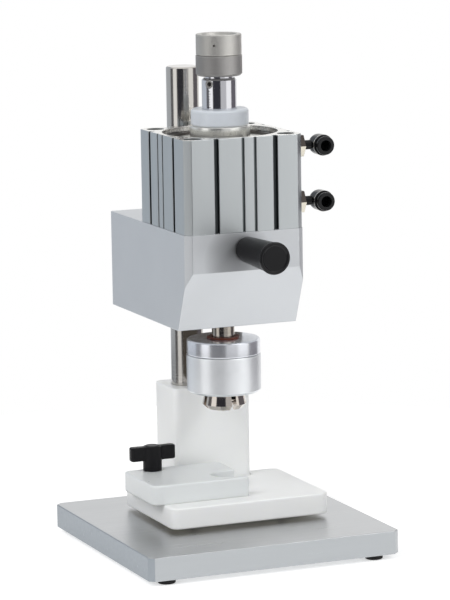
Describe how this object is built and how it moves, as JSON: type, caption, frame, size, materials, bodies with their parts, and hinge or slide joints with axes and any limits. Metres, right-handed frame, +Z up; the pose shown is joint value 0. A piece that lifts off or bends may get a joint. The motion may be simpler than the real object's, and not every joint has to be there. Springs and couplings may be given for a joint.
{
  "type": "tabletop capping machine",
  "caption": "Tabletop crimping press: a pneumatic cylinder with a collet crimping head on a round column, over a clamped vial nest on a square base plate.",
  "frame": {"origin": "centre of the bounding box on the floor, which is the centre of the base plate, level with the underside of the rubber feet", "axes": "+X along the front to the right, +Y to the back where the column stands, +Z up along the column and the ram"},
  "size_m": [0.2, 0.209, 0.389],
  "materials": {
    "brushed_aluminium": "brushed",
    "blasted_aluminium": "satin",
    "anodised_aluminium": "satin",
    "polished_steel": "polished",
    "chromed_steel": "polished",
    "satin_steel": "knurled satin",
    "dark_steel": "dark oxide",
    "screw_steel": "satin",
    "spring_steel": "satin",
    "nickel": "satin",
    "white_polymer": "matte",
    "white_acetal": "satin",
    "black_plastic": "matte",
    "black_gloss": "satin",
    "black_rubber": "matte",
    "brown_bush": "satin"
  },
  "bodies": {
    "stand": {"base_plate": "brushed_aluminium", "rubber_feet": "black_rubber", "foot_screws": "screw_steel", "column": "polished_steel", "column_bolt": "screw_steel", "column_block": "white_polymer", "block_screws": "screw_steel", "nest_spacer": "brushed_aluminium", "nest_lower_plate": "white_polymer", "nest_screws": "screw_steel"},
    "nest_guide": {"nest_upper_plate": "white_polymer"},
    "clamp_handle": {"t_handle": "black_plastic", "handle_stud": "screw_steel"},
    "head": {"head_block": "blasted_aluminium", "clamp_screws": "screw_steel", "spindle_bush": "nickel", "cylinder_body": "anodised_aluminium", "corner_screws": "screw_steel", "rod_seal": "black_rubber", "cylinder_cover": "anodised_aluminium", "cover_circlip": "dark_steel", "stop_collar": "polished_steel", "buffer_ring": "white_acetal", "port_adapters": "nickel", "elbow_stems": "nickel", "grip_pin": "screw_steel"},
    "revolving_grip": {"grip": "black_plastic"},
    "upper_elbow": {"elbow_upper": "black_gloss"},
    "lower_elbow": {"elbow_lower": "black_gloss"},
    "upper_release": {"release_ring_upper": "black_gloss"},
    "lower_release": {"release_ring_lower": "black_gloss"},
    "ram": {"piston": "anodised_aluminium", "piston_seal": "black_rubber", "stop_rod": "chromed_steel", "stop_rod_screw": "screw_steel", "spindle": "dark_steel", "collet_holder": "satin_steel", "sleeve_spring": "spring_steel", "pad_spring": "spring_steel"},
    "lock_nut_ring": {"lock_nut": "satin_steel"},
    "stop_nut_ring": {"stop_nut": "satin_steel"},
    "collet_jaw_1": {"jaw_1": "chromed_steel"},
    "collet_jaw_2": {"jaw_2": "chromed_steel"},
    "collet_jaw_3": {"jaw_3": "chromed_steel"},
    "collet_jaw_4": {"jaw_4": "chromed_steel"},
    "sleeve": {"closing_sleeve": "satin_steel", "lock_ring": "polished_steel", "lock_ring_bush": "brown_bush"},
    "pad": {"pressure_pad": "black_plastic"}
  },
  "joints": [
    {"name": "nest_guide_slide", "type": "slide", "parent": "stand", "child": "nest_guide", "axis": [1, 0, 0], "range_m": [-0.004, 0.003]},
    {"name": "clamp_handle_turn", "type": "hinge", "parent": "stand", "child": "clamp_handle", "pos_m": [-0.045, 0.032, 0], "axis": [0, 0, 1], "continuous": true},
    {"name": "head_height", "type": "slide", "parent": "stand", "child": "head", "axis": [0, 0, 1], "range_m": [-0.02, 0.06]},
    {"name": "grip_turn", "type": "hinge", "parent": "head", "child": "revolving_grip", "pos_m": [0, -0.051, 0.234], "axis": [0, -1, 0], "continuous": true},
    {"name": "upper_elbow_swivel", "type": "hinge", "parent": "head", "child": "upper_elbow", "pos_m": [0.047, -0.02, 0.304], "axis": [1, 0, 0], "continuous": true},
    {"name": "lower_elbow_swivel", "type": "hinge", "parent": "head", "child": "lower_elbow", "pos_m": [0.047, -0.02, 0.262], "axis": [1, 0, 0], "continuous": true},
    {"name": "upper_release_press", "type": "slide", "parent": "upper_elbow", "child": "upper_release", "axis": [0, 1, 0], "range_m": [0, 0.001], "stiffness_N_per_m": 600, "springref_m": -0.0005},
    {"name": "lower_release_press", "type": "slide", "parent": "lower_elbow", "child": "lower_release", "axis": [0, 1, 0], "range_m": [0, 0.001], "stiffness_N_per_m": 600, "springref_m": -0.0005},
    {"name": "ram_stroke", "type": "slide", "parent": "head", "child": "ram", "axis": [0, 0, 1], "range_m": [-0.0245, 0]},
    {"name": "lock_nut_turn", "type": "hinge", "parent": "ram", "child": "lock_nut_ring", "pos_m": [0, -0.004, 0], "axis": [0, 0, 1], "continuous": true},
    {"name": "stop_nut_turn", "type": "hinge", "parent": "ram", "child": "stop_nut_ring", "pos_m": [0, -0.004, 0], "axis": [0, 0, 1], "continuous": true},
    {"name": "sleeve_close", "type": "slide", "parent": "ram", "child": "sleeve", "axis": [0, 0, 1], "range_m": [-0.004, 0], "stiffness_N_per_m": 4000, "springref_m": 0.003, "deforming": ["sleeve_spring"]},
    {"name": "pad_press", "type": "slide", "parent": "ram", "child": "pad", "axis": [0, 0, 1], "range_m": [0, 0.0025], "stiffness_N_per_m": 1500, "springref_m": -0.002, "deforming": ["pad_spring"]},
    {"name": "jaw_1_close", "type": "hinge", "parent": "ram", "child": "collet_jaw_1", "pos_m": [0.00996, -0.01236, 0.129], "axis": [0.6428, 0.766, 0], "range_deg": [0, 4]},
    {"name": "jaw_2_close", "type": "hinge", "parent": "ram", "child": "collet_jaw_2", "pos_m": [0.00836, 0.00596, 0.129], "axis": [-0.766, 0.6428, 0], "range_deg": [0, 4]},
    {"name": "jaw_3_close", "type": "hinge", "parent": "ram", "child": "collet_jaw_3", "pos_m": [-0.00996, 0.00436, 0.129], "axis": [-0.6428, -0.766, 0], "range_deg": [0, 4]},
    {"name": "jaw_4_close", "type": "hinge", "parent": "ram", "child": "collet_jaw_4", "pos_m": [-0.00836, -0.01396, 0.129], "axis": [0.766, -0.6428, 0], "range_deg": [0, 4]}
  ],
  "couplings": [
    {"joint": "jaw_1_close", "follows": "sleeve_close", "rad_per_m": -17.45},
    {"joint": "jaw_2_close", "follows": "sleeve_close", "rad_per_m": -17.45},
    {"joint": "jaw_3_close", "follows": "sleeve_close", "rad_per_m": -17.45},
    {"joint": "jaw_4_close", "follows": "sleeve_close", "rad_per_m": -17.45}
  ]
}
